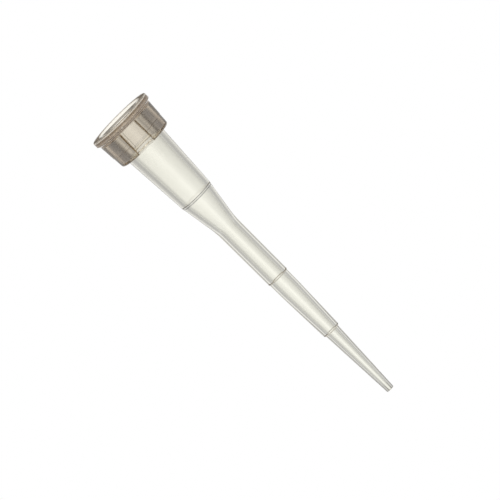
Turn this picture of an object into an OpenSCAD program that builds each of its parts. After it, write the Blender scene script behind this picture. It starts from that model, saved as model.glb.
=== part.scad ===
// Disposable pipette tip for 10 microlitre pipettes, moulded in one piece.
// Lengths are in millimetres. Z runs along the tip from the mouth rim at z = 0 to the nozzle end,
// so the part stands on its rim with the nozzle up. One window of the collar faces -Y.

/* [Collar] */
// Diameter of the flange round the mouth
flange_d = 6.04; // [5.9:0.02:6.6]
// Height of the flange's straight side
flange_side = 0.48; // [0.3:0.02:0.56]
// Height of the bevel under the flange
flange_bevel = 0.16; // [0.05:0.01:0.26]
// Bevel on the flange's top edge
rim_bevel = 0.05; // [0.01:0.01:0.08]
// Diameter of the collar just under the flange
collar_top_d = 5.6; // [5.2:0.02:5.8]
// Diameter of the collar at its lower end, before the corner is rounded
collar_low_d = 5.28; // [5:0.01:5.5]
// Length of the collar from the rim to its lower face
collar_length = 3.18; // [2.8:0.02:4]
// Radius of the collar's lower corner
collar_corner_r = 0.22; // [0.1:0.01:0.35]
// Distance from the rim to the mould's parting line
parting_z = 2.13; // [1.6:0.01:2.4]
// How far the collar steps in at the parting line
parting_step = 0.024; // [0.01:0.002:0.05]

/* [Windows] */
// Number of windows in the collar
window_count = 2; // [1:1:4]
// Angle that a window's upper end spans
window_angle = 39.5; // [20:0.5:60]
// How far each side wall of a window leans outwards on its way down
window_draft = 2.2; // [0:0.1:5]
// Distance from the rim to a window's upper end
window_top = 0.76; // [0.7:0.01:1.2]
// Diameter of the wall at the floor of a window
window_floor_d = 4.56; // [4.2:0.02:4.9]

/* [Socket] */
// Diameter of the mouth at the rim
mouth_d = 4.68; // [4.2:0.02:5]
// Depth of the funnel that leads into the socket
lead_in = 0.85; // [0.4:0.05:1.2]
// Diameter of the socket that grips the pipette
socket_d = 3.5; // [3.3:0.01:3.7]
// Length of the socket's straight wall
socket_length = 2.1; // [1.2:0.05:2.2]

/* [Barrel] */
// Diameter of the barrel where it leaves the collar
barrel_top_d = 4; // [3.7:0.02:4.2]
// Diameter of the barrel just above its shoulder
barrel_low_d = 3.26; // [3.1:0.02:3.5]
// Length of the barrel below the collar
barrel_length = 5.94; // [4:0.02:8]
// Length of the shoulder's bevel
shoulder_length = 0.14; // [0.05:0.01:0.4]
// Diameter of the reducing cone just below the shoulder
cone_top_d = 3.18; // [3:0.01:3.2]
// Length of the reducing cone
cone_length = 2.74; // [1.5:0.02:4]
// Length of the blend from the cone into the stem
blend_length = 1; // [0.5:0.05:1.5]

/* [Stem and nozzle] */
// Diameter of the stem at its upper end
stem_top_d = 2.14; // [2:0.01:2.3]
// Diameter of the stem at its lower end
stem_low_d = 2.08; // [2:0.01:2.14]
// Length of the stem
stem_length = 5.77; // [4:0.01:8]
// Length of the bevel under the stem
stem_bevel = 0.05; // [0.03:0.01:0.4]
// Diameter of the neck where it leaves the stem
neck_top_d = 1.964; // [1.8:0.004:2]
// Diameter of the neck at its lower end
neck_low_d = 1.638; // [1.55:0.004:1.76]
// Length of the neck
neck_length = 6.26; // [4:0.01:8]
// Length of the neck's upper stretch, which is nearly straight
neck_straight = 1.4; // [0.5:0.1:3]
// Length of the rounded step above the nozzle
nozzle_step = 0.12; // [0.1:0.01:0.4]
// Diameter of the nozzle at its upper end
nozzle_top_d = 1.37; // [1.25:0.01:1.5]
// Diameter of the nozzle at its end
nozzle_end_d = 0.7; // [0.62:0.01:0.9]
// Length of the nozzle
nozzle_length = 6.9; // [4:0.05:8]
// Radius on the nozzle's outer end
nozzle_end_r = 0.04; // [0.02:0.01:0.06]

/* [Bore] */
// Length of the bevel where the socket narrows to the bore
seat_bevel = 0.1; // [0.05:0.01:0.3]
// Bore just below the socket
bore_top_d = 2.96; // [2.8:0.02:3.3]
// Bore at the lower end of the barrel
bore_barrel_d = 2.46; // [2.2:0.02:2.8]
// Bore at the upper end of the reducing cone
bore_cone_d = 2.4; // [2.1:0.02:2.6]
// Bore at the upper end of the stem
bore_stem_d = 1.3; // [1.26:0.01:1.6]
// Bore where the neck starts to taper
bore_neck_d = 1.25; // [1:0.01:1.3]
// Bore at the lower end of the neck
bore_neck_low_d = 0.9; // [0.76:0.01:1]
// Bore at the upper end of the nozzle
bore_nozzle_d = 0.75; // [0.5:0.01:0.88]
// Bore at the nozzle's end
orifice_d = 0.26; // [0.2:0.02:0.4]

/* [Hidden] */
$fn = 96;
ARC_STEPS = 5;
CUT = 1; // how far a cutting shape runs past what it cuts
flange_height = flange_side + flange_bevel;

// Heights of the stations, measured from the rim
socket_end = lead_in + socket_length;
barrel_end = collar_length + barrel_length;
cone_start = barrel_end + shoulder_length;
cone_end = cone_start + cone_length;
stem_start = cone_end + blend_length;
stem_end = stem_start + stem_length;
neck_start = stem_end + stem_bevel;
neck_end = neck_start + neck_length;
nozzle_start = neck_end + nozzle_step;
tip_length = nozzle_start + nozzle_length;

// The collar tapers evenly from the flange to its lower face
collar_slope = (collar_top_d - collar_low_d) / 2 / (collar_length - flange_height);
function collar_r(z) = collar_top_d / 2 - collar_slope * (z - flange_height);

// The cone meets the stem's line at the middle of the blend, which cuts that corner by a flat
blend_mid = (cone_end + stem_start) / 2;
cone_slope = (cone_top_d - stem_top_d) / 2 / (blend_mid - cone_start);
cone_end_r = cone_top_d / 2 - cone_slope * cone_length;

// The neck runs on from the stem at the stem's own slope before it tapers
stem_slope = (stem_top_d - stem_low_d) / 2 / stem_length;
neck_break = neck_start + neck_straight;
neck_break_r = neck_top_d / 2 - stem_slope * neck_straight;

// Points of a round corner: centre, radius, and the angles at which it starts and ends
function arc(centre, r, from, to) = [
    for (i = [0:ARC_STEPS]) let (a = from + (to - from) * i / ARC_STEPS)
        centre + r * [cos(a), sin(a)]
];

function outside() = concat(
    [
        [flange_d / 2 - rim_bevel, 0],
        [flange_d / 2, rim_bevel],
        [flange_d / 2, flange_side],
        [collar_top_d / 2, flange_height],
        [collar_r(parting_z), parting_z],
        [collar_r(parting_z) - parting_step, parting_z]
    ],
    collar_corner(),
    [
        [barrel_top_d / 2, collar_length],
        [barrel_low_d / 2, barrel_end],
        [cone_top_d / 2, cone_start],
        [cone_end_r, cone_end],
        [stem_top_d / 2, stem_start],
        [stem_low_d / 2, stem_end],
        [neck_top_d / 2, neck_start],
        [neck_break_r, neck_break]
    ],
    nozzle_shoulder(),
    [[nozzle_top_d / 2, nozzle_start]],
    arc([nozzle_end_d / 2 - nozzle_end_r, tip_length - nozzle_end_r], nozzle_end_r, 0, 90)
);

// The corner is tangent to the collar's side and to its lower face
function collar_corner() =
    let (lean = atan(collar_slope), z = collar_length - collar_corner_r)
    arc([collar_r(z) - parting_step - collar_corner_r / cos(lean), z], collar_corner_r, lean, 90);

// The step above the nozzle starts with a round edge and ends in a bevel
function nozzle_shoulder() =
    let (r = (neck_low_d - nozzle_top_d) / 3)
    arc([neck_low_d / 2 - r, neck_end], r, 0, 60);

function inside() = [
    [orifice_d / 2, tip_length],
    [bore_nozzle_d / 2, nozzle_start],
    [bore_neck_low_d / 2, neck_end],
    [bore_neck_d / 2, neck_break],
    [bore_stem_d / 2, stem_start],
    [bore_cone_d / 2, cone_start],
    [bore_barrel_d / 2, barrel_end],
    [bore_top_d / 2, socket_end + seat_bevel],
    [socket_d / 2, socket_end],
    [socket_d / 2, lead_in],
    [mouth_d / 2, 0]
];

// Everything on the -Y side of a wall that leans by the draft, turned by half the window's angle
module window_side() {
    translate([0, 0, window_top])
        rotate([0, 0, window_angle / 2])
            rotate([0, window_draft, 0])
                translate([-flange_d, -flange_d, -flange_d])
                    cube([flange_d, 2 * flange_d, 3 * flange_d]);
}

// One window, cut down to its floor and open at the collar's lower face
module window() {
    difference() {
        intersection() {
            window_side();
            mirror([1, 0, 0]) window_side();
            translate([-flange_d, -flange_d, window_top])
                cube([2 * flange_d, flange_d, collar_length - window_top + CUT]);
        }
        cylinder(d = window_floor_d, h = parting_z);
        cylinder(d = window_floor_d - 2 * parting_step, h = collar_length + 2 * CUT);
    }
}

module pipette_tip() {
    color([0.93, 0.91, 0.83, 0.6])
        difference() {
            rotate_extrude() polygon(concat(outside(), inside()));
            for (i = [0:window_count - 1])
                rotate([0, 0, i * 360 / window_count]) window();
        }
}

pipette_tip();
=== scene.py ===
"""A disposable pipette tip of natural polypropylene, moulded in one piece.

The tip stands on its mouth at z = 0 with its nozzle up, and one window of its collar faces -Y.
Sizes in this script are in millimetres, and heights are measured from the rim of the mouth. MM
turns them to metres where a mesh or the camera needs them.
"""

import math

import bmesh
import bpy
from mathutils import Matrix, Vector


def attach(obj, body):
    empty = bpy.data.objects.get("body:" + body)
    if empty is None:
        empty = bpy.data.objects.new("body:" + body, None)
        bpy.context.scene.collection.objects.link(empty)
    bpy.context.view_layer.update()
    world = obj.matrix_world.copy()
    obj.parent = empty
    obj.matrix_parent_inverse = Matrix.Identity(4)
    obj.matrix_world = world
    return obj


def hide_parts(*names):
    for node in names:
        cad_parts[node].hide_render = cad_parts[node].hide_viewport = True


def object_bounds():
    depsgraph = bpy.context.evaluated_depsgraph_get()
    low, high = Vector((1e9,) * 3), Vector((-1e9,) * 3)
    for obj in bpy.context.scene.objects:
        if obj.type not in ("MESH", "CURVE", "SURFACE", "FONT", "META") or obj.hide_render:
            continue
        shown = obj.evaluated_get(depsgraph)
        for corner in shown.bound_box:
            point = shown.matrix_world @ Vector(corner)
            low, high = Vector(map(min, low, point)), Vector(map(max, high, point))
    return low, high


MM = 0.001
UP = Vector((0, 0, 1))
FULL_TURN = 2 * math.pi
SEGMENTS = 240  # round the tip
ARC_STEPS = 6  # in each rounded corner of the outline
SHARP_ANGLE = 28  # degrees between two faces, from which their edge stays sharp
BOUNCES = 40  # of light inside the clear wall

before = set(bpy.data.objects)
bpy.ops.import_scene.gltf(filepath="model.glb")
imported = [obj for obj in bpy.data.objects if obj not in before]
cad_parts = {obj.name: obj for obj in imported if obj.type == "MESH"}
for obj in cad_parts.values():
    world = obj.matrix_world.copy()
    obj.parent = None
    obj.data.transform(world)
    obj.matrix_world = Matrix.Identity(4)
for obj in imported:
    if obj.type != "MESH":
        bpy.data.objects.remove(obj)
cad_low, cad_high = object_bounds()
BASE = cad_low.z / MM
LENGTH = (cad_high.z - cad_low.z) / MM

# ---------------------------------------------------------------- sizes

# Collar
FLANGE_R = (cad_high.x - cad_low.x) / 2 / MM
FLANGE_SIDE = 0.48
FLANGE_HEIGHT = 0.64
COLLAR_TOP_R, COLLAR_LOW_R = 2.8, 2.64
COLLAR_LENGTH = 3.18
COLLAR_CORNER = 0.22
PARTING_Z = 2.13
PARTING_STEP = 0.024
PARTING_SLOPE = 0.012  # half the height of the step

# Windows
WINDOW_COUNT = 2
WINDOW_ANGLE = 39.5
WINDOW_DRAFT = 2.2
WINDOW_TOP = 0.76
WINDOW_FLOOR_R = 2.28
CUT = 1  # how far a cutting block runs past the collar
CUT_ANGLE = 12  # and past each side of its window, before its sides are cut

# Socket
MOUTH_R = 2.34
LEAD_IN = 0.85
SOCKET_R = 1.75
SOCKET_END = 2.95
SEAT_END = 3.05

# Stations along the barrel, stem and nozzle, and the outside's radii there
BARREL_TOP_R, BARREL_LOW_R = 2.0, 1.63
BARREL_END = 9.12
CONE_START, CONE_END = 9.26, 12.0
CONE_TOP_R = 1.59
BEVEL_LONG, BEVEL_SHORT = 0.02, 0.018  # on the shoulder's two edges
STEM_START, STEM_END = 13.0, 18.77
STEM_TOP_R, STEM_LOW_R = 1.07, 1.04
NECK_START, NECK_BREAK, NECK_END = 18.82, 20.22, 25.08
NECK_TOP_R, NECK_BREAK_R, NECK_LOW_R = 0.982, 0.975, 0.819
NOZZLE_START = 25.2
NOZZLE_TOP_R, NOZZLE_END_R = 0.685, 0.35

# The bore's radii at the same stations
BORE_TOP_R, BORE_BARREL_R, BORE_CONE_R = 1.48, 1.23, 1.2
BORE_STEM_R, BORE_NECK_R, BORE_NECK_LOW_R = 0.65, 0.625, 0.45
BORE_NOZZLE_R, ORIFICE_R = 0.375, 0.13

# ---------------------------------------------------------------- camera

FRAME_MM = 41.57  # the width of the view at the tip
LENS, SENSOR = 1500, 36  # so long a lens that the view is nearly parallel
AZIMUTH, ELEVATION, ROLL = math.radians(-1.3), math.radians(-6.4), math.radians(45.1)
AIM_Z, AIM_ACROSS = 15.54, -0.051  # the view's middle, along the tip and across it
NEAR, FAR = 0.01, 10  # the camera's range, in metres


def add_camera():
    """Looks a little into the mouth. The tip runs from the upper left to the lower right."""
    back = Vector(
        (
            math.sin(AZIMUTH) * math.cos(ELEVATION),
            -math.cos(AZIMUTH) * math.cos(ELEVATION),
            math.sin(ELEVATION),
        )
    )
    across = back.cross(UP).normalized()
    along = across.cross(back)
    right = across * math.cos(ROLL) + along * math.sin(ROLL)
    up = across * math.sin(ROLL) - along * math.cos(ROLL)
    data = bpy.data.cameras.new("camera")
    data.lens = LENS
    data.sensor_width = SENSOR
    data.clip_start, data.clip_end = NEAR, FAR
    camera = bpy.data.objects.new("camera", data)
    distance = FRAME_MM * LENS / SENSOR
    place = (UP * AIM_Z + across * AIM_ACROSS + back * distance) * MM
    turn = Matrix((right, up, back)).transposed().to_4x4()
    camera.matrix_world = Matrix.Translation(place) @ turn
    bpy.context.collection.objects.link(camera)
    bpy.context.scene.camera = camera


add_camera()

# ---------------------------------------------------------------- helpers


def linear(code):
    """An sRGB hex colour as linear RGBA."""
    channels = [int(code[i : i + 2], 16) / 255 for i in (1, 3, 5)]
    return [c / 12.92 if c <= 0.04045 else ((c + 0.055) / 1.055) ** 2.4 for c in channels] + [1]


def node(tree, kind, settings=(), **inputs):
    """Adds a shader node with its settings. An input is a socket to link, a hex colour or a value.

    Inputs go by name, with two underscores for a space, or by number after one underscore.
    """
    made = tree.nodes.new(kind)
    for name, value in dict(settings).items():
        setattr(made, name, value)
    for name, value in inputs.items():
        key = int(name[1:]) if name[0] == "_" else name.replace("__", " ")
        if isinstance(value, bpy.types.NodeSocket):
            tree.links.new(value, made.inputs[key])
        else:
            made.inputs[key].default_value = linear(value) if isinstance(value, str) else value
    return made


def by_angle(tree, angle, span, stops):
    """The colour at an angle, from stops of (degrees, linear colour) over the whole span."""
    half = math.radians(span) / 2
    turn = node(tree, "ShaderNodeMapRange", Value=angle, From__Min=-half, From__Max=half)
    ramp = node(tree, "ShaderNodeValToRGB", Fac=turn.outputs[0])
    elements = ramp.color_ramp.elements
    elements.remove(elements[1])
    for degrees, colour in stops:
        elements.new(degrees / span + 0.5).color = colour
    elements.remove(elements[0])
    return ramp.outputs[0]


def new_piece(name, bm, material):
    """Makes the bmesh, whose sizes are in millimetres, an object at the origin."""
    bmesh.ops.scale(bm, vec=(MM, MM, MM), verts=bm.verts)
    mesh = bpy.data.meshes.new(name)
    bm.to_mesh(mesh)
    bm.free()
    mesh.materials.append(material)
    piece = bpy.data.objects.new(name, mesh)
    bpy.context.collection.objects.link(piece)
    return piece


def rounded(corners):
    """Points of an outline whose corners are given as (radius from the axis, height, rounding)."""
    points = []
    count = len(corners)
    for i, (r, z, rounding) in enumerate(corners):
        here = Vector((r, z))
        if not rounding:
            points.append(here)
            continue
        before = (Vector(corners[i - 1][:2]) - here).normalized()
        after = (Vector(corners[(i + 1) % count][:2]) - here).normalized()
        half = before.angle(after) / 2
        centre = here + (before + after).normalized() * rounding / math.sin(half)
        start = here + before * rounding / math.tan(half) - centre
        end = here + after * rounding / math.tan(half) - centre
        turn = start.angle_signed(end)
        for step in range(ARC_STEPS + 1):
            points.append(centre + Matrix.Rotation(-turn * step / ARC_STEPS, 2) @ start)
    return points


def spun(bm, points, angle=FULL_TURN, start=0.0, steps=SEGMENTS):
    """Turns a closed outline of (radius, height) points round the tip's axis."""
    turn = Matrix.Rotation(start, 3, UP)
    verts = [bm.verts.new(turn @ Vector((p[0], 0, p[1]))) for p in points]
    edges = [bm.edges.new((a, b)) for a, b in zip(verts, verts[1:] + verts[:1])]
    whole = angle == FULL_TURN
    profile = verts + edges
    if not whole:
        profile += [bm.faces.new(verts)]
    bmesh.ops.spin(
        bm, geom=profile, cent=(0, 0, 0), axis=UP, angle=angle, steps=steps, use_merge=whole
    )
    bmesh.ops.recalc_face_normals(bm, faces=bm.faces)


# ---------------------------------------------------------------- material

# Zones of the surface. Each has a measure and its values where the zone begins and where it is
# full. Heights, radii and distances are in millimetres. "backfacing" is 0 on a face seen from
# outside and 1 on one seen through the plastic.
SOFT = 0.02  # half the width of a zone's soft edge
ZONES = {
    "collar": ("height", COLLAR_LENGTH + SOFT, COLLAR_LENGTH - SOFT),
    "rim_band": ("height", WINDOW_TOP + SOFT, WINDOW_TOP - SOFT),
    # Zones of the flange's painted dark band and of the painted highlight at the rim's edge
    "flange_side": ("height", 0.24, 0.33),
    "rim_edge": ("height", 0.15, 0.09),
    "rim_face": ("height", 0.03, 0.02),
    "off_rim_face": ("height", 0.02, 0.04),
    "funnel": ("height", LEAD_IN + SOFT, LEAD_IN - SOFT),
    # Where painted shade darkens the inner faces and the window floors towards the collar's end
    "socket_end": ("height", 2.75, 2.8),
    # The collar's end by the barrel, where painted shade darkens the outward face
    "collar_corner": ("height", 2.9, 3.08),
    "skin": ("radius", WINDOW_FLOOR_R + 0.01, WINDOW_FLOOR_R + 0.06),
    "shoulder": ("radius", 1.5, 1.52),
    "outward": ("backfacing", 0.6, 0.4),
    # A painted highlight: a small spot on the flange's front side
    "highlight_spot": ("from_highlight_spot", 0.07, 0.05),
}

# The heights of fine lines, which the mould's parts leave and the shoulder's two edges show.
# They are drawn dark as painted shade, where the light bends away.
LINE_WIDTH = 0.05
LINES = {
    "side_line": FLANGE_SIDE + 0.01,
    "bevel_line": FLANGE_HEIGHT,
    "parting_line": PARTING_Z,
    "barrel_line": BARREL_END - 0.02,
    "cone_line": CONE_START + 0.01,
}
HIGHLIGHT_SPOT = (0.3, -FLANGE_R, 0.45)  # the middle of a painted highlight on the flange's front side

# The collar's outward face by the angle in degrees from the middle of the nearest window.
# Its tones are partly the plastic's smoky tint and partly painted light and shade: the dark
# stripes are painted shade for dark surroundings seen through the wall, the pale band near 50
# degrees is a painted highlight, and the darkening towards the middle of each land is painted
# shade.
LAND_PAINTED_SHADING = (
    (0, "#e7e3db"),
    (26, "#ece8e1"),
    (36, "#9e9a97"),
    (38.5, "#9e9a97"),
    (44, "#ece5db"),
    (50, "#fff8ef"),
    (56, "#dad0c5"),
    (62, "#a69b90"),
    (70, "#a09589"),
    (78, "#7c736c"),
    (90, "#7c736c"),
)

# How the tones are laid over each other. Each row has its name, a zone, what lies outside the zone
# and what lies inside it, which are colours or rows made before.
CLEAR_WALL = "#fcfcf7"
TONES = (
    # Painted shade: the socket's faces and the window floors are darker towards the collar's end
    ("socket", "socket_end", "#ece8e0", "#dddad3"),
    ("inner", "funnel", "socket", "#f7f6f0"),
    # Over the flange's brownish cloudy tint: a painted dark band, and a painted highlight at the
    # rim's edge
    ("flange", "flange_side", "#9b8976", "#c5b6a6"),
    ("flange", "rim_edge", "flange", "#fffaf1"),
    ("flange", "outward", "#eae6de", "flange"),
    # Painted shade: the collar's outward face is darker at its corner by the barrel
    ("land_painted_shading", "collar_corner", "land_painted_shading", "#9e9790"),
    ("outer", "rim_band", "land_painted_shading", "flange"),
    # Painted shade: the rim's face is darker
    ("outer", "rim_face", "outer", "#b1aaa0"),
    # Painted shade: dark lines on the outward face at the flange's bevel and the parting step
    ("line", "outward", "outer", "#7c6f65"),
    ("outer", "side_line", "outer", "line"),
    ("outer", "bevel_line", "outer", "line"),
    ("outer", "parting_line", "outer", "line"),
    # Painted highlight: a pale spot on the flange's front side
    ("outer", "highlight_spot", "outer", "#fffdf7"),
    ("collar", "skin", "inner", "outer"),
    # Painted shade: near-black lines on the outward face at the shoulder's two edges
    ("edge", "outward", CLEAR_WALL, "#272730"),
    ("edge", "shoulder", CLEAR_WALL, "edge"),
    ("barrel", "barrel_line", CLEAR_WALL, "edge"),
    ("barrel", "cone_line", "barrel", "edge"),
    ("tint", "collar", "barrel", "collar"),
)

# The same for how rough the surface is, as "satin", and how much light it lets in, as "clear"
FINISH = (
    ("satin", "rim_edge", 0.1, 0.05),
    ("satin", "skin", 0.0, "satin"),
    ("satin", "collar", 0.0, "satin"),
    ("clear", "rim_band", 1.0, 0.3),
    ("clear", "skin", 1.0, "clear"),
    ("clear", "off_rim_face", 1.0, "clear"),
    ("clear", "outward", 1.0, "clear"),
)

# A faint yellow, which shows where light has a long way through the plastic
HAZE = "#c3a300"
HAZE_DENSITY = 80.0  # per metre
IOR = 1.49


def polypropylene():
    """Natural polypropylene, injection moulded. It is clear to the eye in a thin polished wall.

    The collar's outward face is satin, because the mould was sparked there. Its smoky tones are
    partly the plastic's own tint and partly painted shade and painted highlights. The flange is
    cloudiest. Its side has a painted highlight at the rim's edge and a painted dark band above
    it. The mould's lines and the shoulder's edges are dark where they are seen from outside,
    which is painted shade.
    """
    material = bpy.data.materials.new("polypropylene_moulded")
    material.use_nodes = True
    tree = material.node_tree
    shader = tree.nodes["Principled BSDF"]
    place = node(tree, "ShaderNodeTexCoord")
    sized = node(
        tree,
        "ShaderNodeMapping",
        Vector=place.outputs["Object"],
        Location=(0, 0, -BASE),
        Scale=(1 / MM, 1 / MM, 1 / MM),
    )
    axes = node(tree, "ShaderNodeSeparateXYZ", Vector=sized.outputs[0])
    flat = node(
        tree, "ShaderNodeCombineXYZ", X=axes.outputs["X"], Y=axes.outputs["Y"], Z=0.0
    )
    radius = node(tree, "ShaderNodeVectorMath", {"operation": "LENGTH"}, _0=flat.outputs[0])
    # The distance from the painted highlight spot
    highlight_spot = node(
        tree, "ShaderNodeVectorMath", {"operation": "DISTANCE"}, _0=sized.outputs[0], _1=HIGHLIGHT_SPOT
    )
    side = node(tree, "ShaderNodeNewGeometry")
    measures = {
        "height": axes.outputs["Z"],
        "radius": radius.outputs["Value"],
        "from_highlight_spot": highlight_spot.outputs["Value"],
        "backfacing": side.outputs["Backfacing"],
    }

    zones = {}
    for name, (measure, start, end) in ZONES.items():
        zone = node(
            tree,
            "ShaderNodeMapRange",
            Value=measures[measure],
            From__Min=start,
            From__Max=end,
        )
        zones[name] = zone.outputs[0]
    for name, middle in LINES.items():
        zone = node(
            tree,
            "ShaderNodeMath",
            {"operation": "COMPARE"},
            _0=measures["height"],
            _1=middle,
            _2=LINE_WIDTH / 2,
        )
        zones[name] = zone.outputs[0]

    turn = node(
        tree,
        "ShaderNodeMath",
        {"operation": "ARCTAN2"},
        _0=axes.outputs["X"],
        _1=axes.outputs["Y"],
    )
    from_window = node(
        tree,
        "ShaderNodeMath",
        {"operation": "PINGPONG"},
        _0=turn.outputs[0],
        _1=math.pi / WINDOW_COUNT,
    )
    # Painted shade and painted highlights round the collar's outward face, by angle
    made = {
        "land_painted_shading": by_angle(tree, from_window.outputs[0], 180, [(at, linear(c)) for at, c in LAND_PAINTED_SHADING])
    }
    for name, zone, outside, inside in TONES:
        mix = node(
            tree,
            "ShaderNodeMix",
            {"data_type": "RGBA"},
            Factor=zones[zone],
            _6=made.get(outside, outside),
            _7=made.get(inside, inside),
        )
        made[name] = mix.outputs[2]
    for name, zone, outside, inside in FINISH:
        mix = node(
            tree,
            "ShaderNodeMix",
            Factor=zones[zone],
            _2=made.get(outside, outside),
            _3=made.get(inside, inside),
        )
        made[name] = mix.outputs[0]

    tree.links.new(made["tint"], shader.inputs["Base Color"])
    tree.links.new(made["satin"], shader.inputs["Roughness"])
    tree.links.new(made["clear"], shader.inputs["Transmission Weight"])
    shader.inputs["IOR"].default_value = IOR
    haze = node(tree, "ShaderNodeVolumeAbsorption", Color=HAZE, Density=HAZE_DENSITY)
    tree.links.new(haze.outputs[0], tree.nodes["Material Output"].inputs["Volume"])
    return material


# ---------------------------------------------------------------- tip


def collar_r(z):
    """The collar's radius at a height, which tapers evenly from the flange to the lower face."""
    slope = (COLLAR_TOP_R - COLLAR_LOW_R) / (COLLAR_LENGTH - FLANGE_HEIGHT)
    return COLLAR_TOP_R - slope * (z - FLANGE_HEIGHT)


def outline():
    """The tip's outline as (radius, height, rounding of the corner).

    It runs along the outside from the rim to the nozzle's end, then back through the bore.
    """
    return [
        (FLANGE_R, 0, 0.1),
        (FLANGE_R, FLANGE_SIDE, 0.05),
        (COLLAR_TOP_R, FLANGE_HEIGHT, 0.03),
        (collar_r(PARTING_Z), PARTING_Z - PARTING_SLOPE, 0),
        (collar_r(PARTING_Z) - PARTING_STEP, PARTING_Z + PARTING_SLOPE, 0),
        (collar_r(COLLAR_LENGTH) - PARTING_STEP, COLLAR_LENGTH, COLLAR_CORNER),
        (BARREL_TOP_R, COLLAR_LENGTH, 0.04),
        (BARREL_LOW_R, BARREL_END, 0),
        (BARREL_LOW_R - BEVEL_SHORT, BARREL_END + BEVEL_LONG, 0.02),
        (CONE_TOP_R + BEVEL_LONG, CONE_START - BEVEL_SHORT, 0.02),
        (CONE_TOP_R, CONE_START, 0),
        (STEM_TOP_R, (CONE_END + STEM_START) / 2, 7),
        (STEM_LOW_R, STEM_END, 0.07),
        (NECK_TOP_R, NECK_START, 0.07),
        (NECK_BREAK_R, NECK_BREAK, 4),
        (NECK_LOW_R, NECK_END, 0.06),
        (NOZZLE_TOP_R, NOZZLE_START, 0.06),
        (NOZZLE_END_R, LENGTH, 0.04),
        (ORIFICE_R, LENGTH, 0.01),
        (BORE_NOZZLE_R, NOZZLE_START, 0.1),
        (BORE_NECK_LOW_R, NECK_END, 0.1),
        (BORE_NECK_R, NECK_BREAK, 4),
        (BORE_STEM_R, STEM_START, 4),
        (BORE_CONE_R, CONE_START, 0.04),
        (BORE_BARREL_R, BARREL_END, 0.04),
        (BORE_TOP_R, SEAT_END, 0.03),
        (SOCKET_R, SOCKET_END, 0.03),
        (SOCKET_R, LEAD_IN, 0.03),
        (MOUTH_R, 0, 0.05),
    ]


def window_cutter(bm):
    """A block over each window, down to its floor, whose side walls lean outwards by the draft."""
    reach = FLANGE_R + CUT
    below = COLLAR_LENGTH + CUT
    floor_low = WINDOW_FLOOR_R - PARTING_STEP
    section = [
        (WINDOW_FLOOR_R, WINDOW_TOP),
        (reach, WINDOW_TOP),
        (reach, below),
        (floor_low, below),
        (floor_low, PARTING_Z),
        (WINDOW_FLOOR_R, PARTING_Z),
    ]
    span = math.radians(WINDOW_ANGLE + 2 * CUT_ANGLE)
    steps = round(SEGMENTS * span / FULL_TURN)
    for i in range(WINDOW_COUNT):
        block = bmesh.new()
        middle = -math.pi / 2 + i * FULL_TURN / WINDOW_COUNT
        spun(block, section, span, middle - span / 2, steps)
        for side in (-1, 1):
            wall = Matrix.Rotation(middle + side * math.radians(WINDOW_ANGLE / 2), 3, UP)
            outward = wall @ Vector((0, side, -math.tan(math.radians(WINDOW_DRAFT))))
            bmesh.ops.bisect_plane(
                block,
                geom=block.verts[:] + block.edges[:] + block.faces[:],
                plane_co=(0, 0, WINDOW_TOP),
                plane_no=outward,
                clear_outer=True,
            )
            bmesh.ops.holes_fill(block, edges=[e for e in block.edges if e.is_boundary])
        bmesh.ops.recalc_face_normals(block, faces=block.faces)
        part = bpy.data.meshes.new("block")
        block.to_mesh(part)
        block.free()
        bm.from_mesh(part)
        bpy.data.meshes.remove(part)


def make_tip(material):
    """Turns the outline, and cuts the windows out of it."""
    bm = bmesh.new()
    spun(bm, rounded(outline()))
    bmesh.ops.translate(bm, vec=(0, 0, BASE), verts=bm.verts)
    tip = new_piece("tip", bm, material)
    bm = bmesh.new()
    window_cutter(bm)
    bmesh.ops.translate(bm, vec=(0, 0, BASE), verts=bm.verts)
    cutter = new_piece("window_cutter", bm, material)
    cut = tip.modifiers.new("windows", "BOOLEAN")
    cut.operation = "DIFFERENCE"
    cut.solver = "EXACT"
    cut.object = cutter
    depsgraph = bpy.context.evaluated_depsgraph_get()
    cut_mesh = bpy.data.meshes.new_from_object(tip.evaluated_get(depsgraph))
    tip.modifiers.clear()
    tip.data = cut_mesh
    bpy.data.objects.remove(cutter)
    tip.data.shade_smooth()
    tip.data.set_sharp_from_angle(angle=math.radians(SHARP_ANGLE))
    return tip


tip = make_tip(polypropylene())
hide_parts("pipette_tip")
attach(tip, "root")

# ---------------------------------------------------------------- floor and light

FLOOR_HALF = 2000  # half the floor's side
FLOOR_GAP = 0.05  # between the floor and the rim

# How bright the studio looks from the tip. Its four soft panels are alike, and this is by the
# angle in degrees round from the middle of each.
PANEL_ANGLE = 90
AROUND = (
    (-45, 0.46),
    (-28, 0.52),
    (-22, 0.6),
    (-12, 0.77),
    (-4, 0.93),
    (0, 1.04),
    (4, 1.05),
    (13, 0.91),
    (18, 0.76),
    (22, 0.62),
    (30, 0.6),
    (45, 0.46),
)

# How bright and of what colour, by the angle in degrees above the horizon
ABOVE = (
    (-90, 0.5, "#fffaf3"),
    (-7.3, 0.5, "#fffaf3"),
    (-6.9, 0.06, "#ffebd5"),
    (-5.9, 0.06, "#ffebd5"),
    (-5.5, 0.3, "#fff7ef"),
    (-3.2, 0.3, "#fff7ef"),
    (-1.8, 1.0, "#ffffff"),
    (14, 1.0, "#ffffff"),
    (22, 1.15, "#ffffff"),
    (32, 1.15, "#ffffff"),
    (36, 0.85, "#fff6e7"),
    (39, 0.85, "#fff6e7"),
    (43, 1.0, "#fffcf3"),
    (58, 1.0, "#fffcf3"),
    (66, 1.5, "#fffbf6"),
    (90, 1.5, "#fffbf6"),
)

# Further down, the studio has one tone all round
FLOOR_TONE = "#dddad6"
FLOOR_START, FLOOR_FULL = -12, -15  # degrees above the horizon


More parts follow.
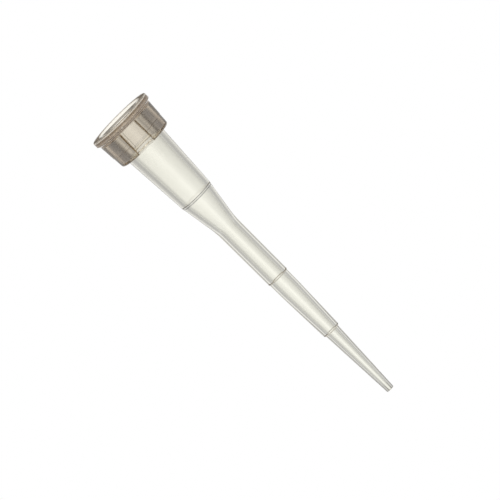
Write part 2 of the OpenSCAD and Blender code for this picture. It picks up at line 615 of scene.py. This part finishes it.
def add_floor():
    """A floor of pale matt card just under the rim, which gives the eye an even tone without gloss.

    It is see-through from below, where the camera stands.
    """
    material = bpy.data.materials.new("floor_card_matt")
    material.use_nodes = True
    tree = material.node_tree
    tree.nodes.clear()
    above = node(tree, "ShaderNodeBsdfDiffuse", Color="#f4f3f0")
    below = node(tree, "ShaderNodeBsdfTransparent")
    side = node(tree, "ShaderNodeNewGeometry")
    mix = node(
        tree,
        "ShaderNodeMixShader",
        _0=side.outputs["Backfacing"],
        _1=above.outputs[0],
        _2=below.outputs[0],
    )
    node(tree, "ShaderNodeOutputMaterial", Surface=mix.outputs[0])
    bm = bmesh.new()
    bmesh.ops.create_grid(bm, x_segments=1, y_segments=1, size=FLOOR_HALF)
    bmesh.ops.translate(bm, vec=(0, 0, BASE - FLOOR_GAP), verts=bm.verts)
    floor = new_piece("floor", bm, material)
    floor.visible_diffuse = False
    floor.visible_glossy = False
    floor.visible_transmission = False
    floor.visible_shadow = False


def add_world():
    """Soft studio light from four panels round the tip. The camera sees plain white behind it."""
    world = bpy.data.worlds.new("studio")
    bpy.context.scene.world = world
    world.use_nodes = True
    tree = world.node_tree
    tree.nodes.clear()
    place = node(tree, "ShaderNodeTexCoord")
    axes = node(tree, "ShaderNodeSeparateXYZ", Vector=place.outputs["Generated"])
    around = node(
        tree,
        "ShaderNodeMath",
        {"operation": "ARCTAN2"},
        _0=axes.outputs["X"],
        _1=axes.outputs["Y"],
    )
    half = math.radians(PANEL_ANGLE) / 2
    panel = node(
        tree, "ShaderNodeMath", {"operation": "WRAP"}, _0=around.outputs[0], _1=half, _2=-half
    )
    height = node(tree, "ShaderNodeMath", {"operation": "ARCSINE"}, _0=axes.outputs["Z"])
    ring = [(at, (bright, bright, bright, 1)) for at, bright in AROUND]
    column = [
        (at, (*(bright * c for c in linear(tint)[:3]), 1)) for at, bright, tint in ABOVE
    ]
    panels = node(
        tree,
        "ShaderNodeMix",
        {"data_type": "RGBA", "blend_type": "MULTIPLY"},
        Factor=1.0,
        _6=by_angle(tree, panel.outputs[0], PANEL_ANGLE, ring),
        _7=by_angle(tree, height.outputs[0], 180, column),
    )
    down = node(
        tree,
        "ShaderNodeMapRange",
        Value=height.outputs[0],
        From__Min=math.radians(FLOOR_START),
        From__Max=math.radians(FLOOR_FULL),
    )
    lit = node(
        tree,
        "ShaderNodeMix",
        {"data_type": "RGBA"},
        Factor=down.outputs[0],
        _6=panels.outputs[2],
        _7=FLOOR_TONE,
    )
    studio = node(tree, "ShaderNodeBackground", Color=lit.outputs[2], Strength=1.0)
    white = node(tree, "ShaderNodeBackground", Color="#ffffff", Strength=1.0)
    path = node(tree, "ShaderNodeLightPath")
    mix = node(
        tree,
        "ShaderNodeMixShader",
        _0=path.outputs["Is Camera Ray"],
        _1=studio.outputs[0],
        _2=white.outputs[0],
    )
    node(tree, "ShaderNodeOutputWorld", Surface=mix.outputs[0])


add_floor()
add_world()
scene = bpy.context.scene
scene.view_settings.view_transform = "Standard"
scene.cycles.max_bounces = BOUNCES
scene.cycles.transmission_bounces = BOUNCES
scene.cycles.glossy_bounces = BOUNCES
